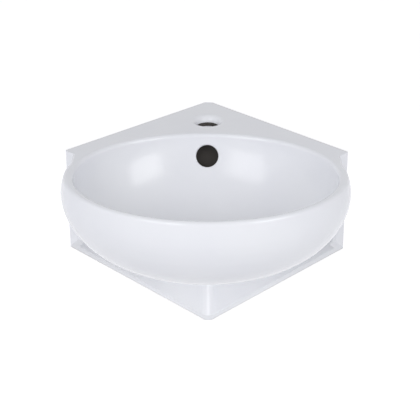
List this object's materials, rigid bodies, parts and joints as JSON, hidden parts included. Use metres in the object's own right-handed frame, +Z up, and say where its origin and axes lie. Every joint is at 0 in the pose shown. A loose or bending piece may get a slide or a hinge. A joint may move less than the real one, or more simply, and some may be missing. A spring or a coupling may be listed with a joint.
{
  "type": "corner basin",
  "caption": "Wall-hung corner wash basin in white glazed china: oval bowl, deck with a tap hole, two wall wings, overflow, push-open waste and wall fixings.",
  "frame": {"origin": "the upright corner where the two walls meet, at the height of the deck's top", "axes": "+Z up, +Y into the corner, +X to the right seen from the room"},
  "size_m": [0.4214, 0.4539, 0.4136],
  "materials": {
    "china": "glossy white glaze",
    "chrome": "polished plating on brass",
    "brass": "turned, bare",
    "seal_rubber": "matt black",
    "slip_plastic": "satin, natural polythene",
    "acetal": "satin, natural acetal",
    "ball_steel": "polished",
    "spring_steel": "drawn wire",
    "zinc_steel": "bright zinc plating",
    "plug_nylon": "matt grey nylon",
    "white_plastic": "glossy white"
  },
  "bodies": {
    "basin": {"basin_body": "china", "waste_body": "chrome", "waste_back_nut": "brass", "waste_top_seal": "seal_rubber", "waste_lower_seal": "seal_rubber", "waste_slip_washer": "slip_plastic", "cartridge_housing": "acetal", "cartridge_base": "acetal", "plug_spring": "spring_steel", "retaining_ring": "spring_steel", "hanger_bolt_left": "zinc_steel", "hanger_bolt_right": "zinc_steel", "nut_left": "zinc_steel", "nut_right": "zinc_steel", "washer_left": "zinc_steel", "washer_right": "zinc_steel", "wall_plug_left": "plug_nylon", "wall_plug_right": "plug_nylon", "sleeve_left": "white_plastic", "sleeve_right": "white_plastic", "cover_cap_left": "white_plastic", "cover_cap_right": "white_plastic"},
    "plug": {"plug_stem": "brass", "plug_cap": "chrome", "plug_seal": "seal_rubber"},
    "latch": {"latch_ring": "acetal", "latch_ball": "ball_steel"}
  },
  "joints": [
    {"name": "plug_slide", "type": "slide", "parent": "basin", "child": "plug", "axis": [0, 0, 1], "range_m": [-0.009, 0], "stiffness_N_per_m": 400, "springref_m": 0.012, "deforming": ["plug_spring"]},
    {"name": "latch_turn", "type": "hinge", "parent": "basin", "child": "latch", "pos_m": [0, -0.275, -0.137], "axis": [0, 0, 1], "range_deg": [-60.1, 0]}
  ],
  "couplings": [
    {"joint": "latch_turn", "follows": "plug_slide", "rad_per_m": 116.36}
  ]
}
